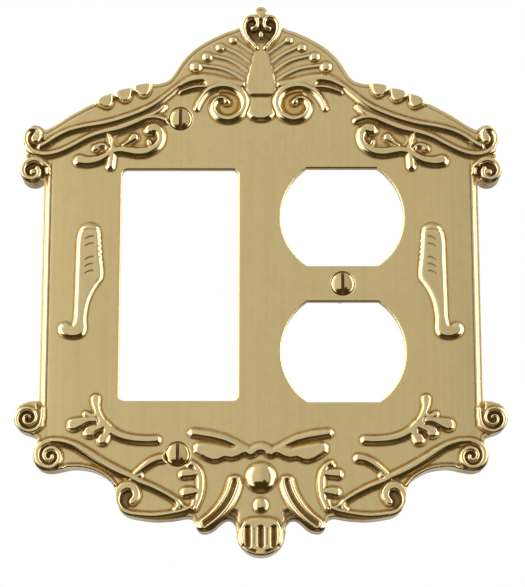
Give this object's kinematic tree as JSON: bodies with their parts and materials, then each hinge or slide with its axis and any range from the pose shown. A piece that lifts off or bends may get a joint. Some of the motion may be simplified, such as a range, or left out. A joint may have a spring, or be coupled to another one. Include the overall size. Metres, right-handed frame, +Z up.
{
  "type": "wall plate cover",
  "caption": "Ornate cast brass wall plate with a rocker opening beside a duplex receptacle pair, hollow behind, held by oval head screws that draw out of countersunk holes.",
  "frame": {"origin": "on the back face of the web, 5.6 mm in front of the wall plane, midway between the gangs, at the height of the device centres", "axes": "+X to the right of a person facing the plate, +Z up, the ornamented front faces -Y"},
  "size_m": [0.1384, 0.0211, 0.1584],
  "materials": {
    "cast_brass": "satin brushed field with polished relief and brown patina in the recesses",
    "screw_brass": "polished, matched to the plate"
  },
  "bodies": {
    "plate": {"wall_plate": "cast_brass"},
    "rocker_screw_upper": {"rocker_screw_upper": "screw_brass"},
    "rocker_screw_lower": {"rocker_screw_lower": "screw_brass"},
    "receptacle_screw": {"receptacle_screw": "screw_brass"}
  },
  "joints": [
    {"name": "rocker_screw_upper_draw", "type": "slide", "parent": "plate", "child": "rocker_screw_upper", "axis": [0, -1, 0], "range_m": [0, 0.0195]},
    {"name": "rocker_screw_lower_draw", "type": "slide", "parent": "plate", "child": "rocker_screw_lower", "axis": [0, -1, 0], "range_m": [0, 0.0195]},
    {"name": "receptacle_screw_draw", "type": "slide", "parent": "plate", "child": "receptacle_screw", "axis": [0, -1, 0], "range_m": [0, 0.0195]}
  ]
}
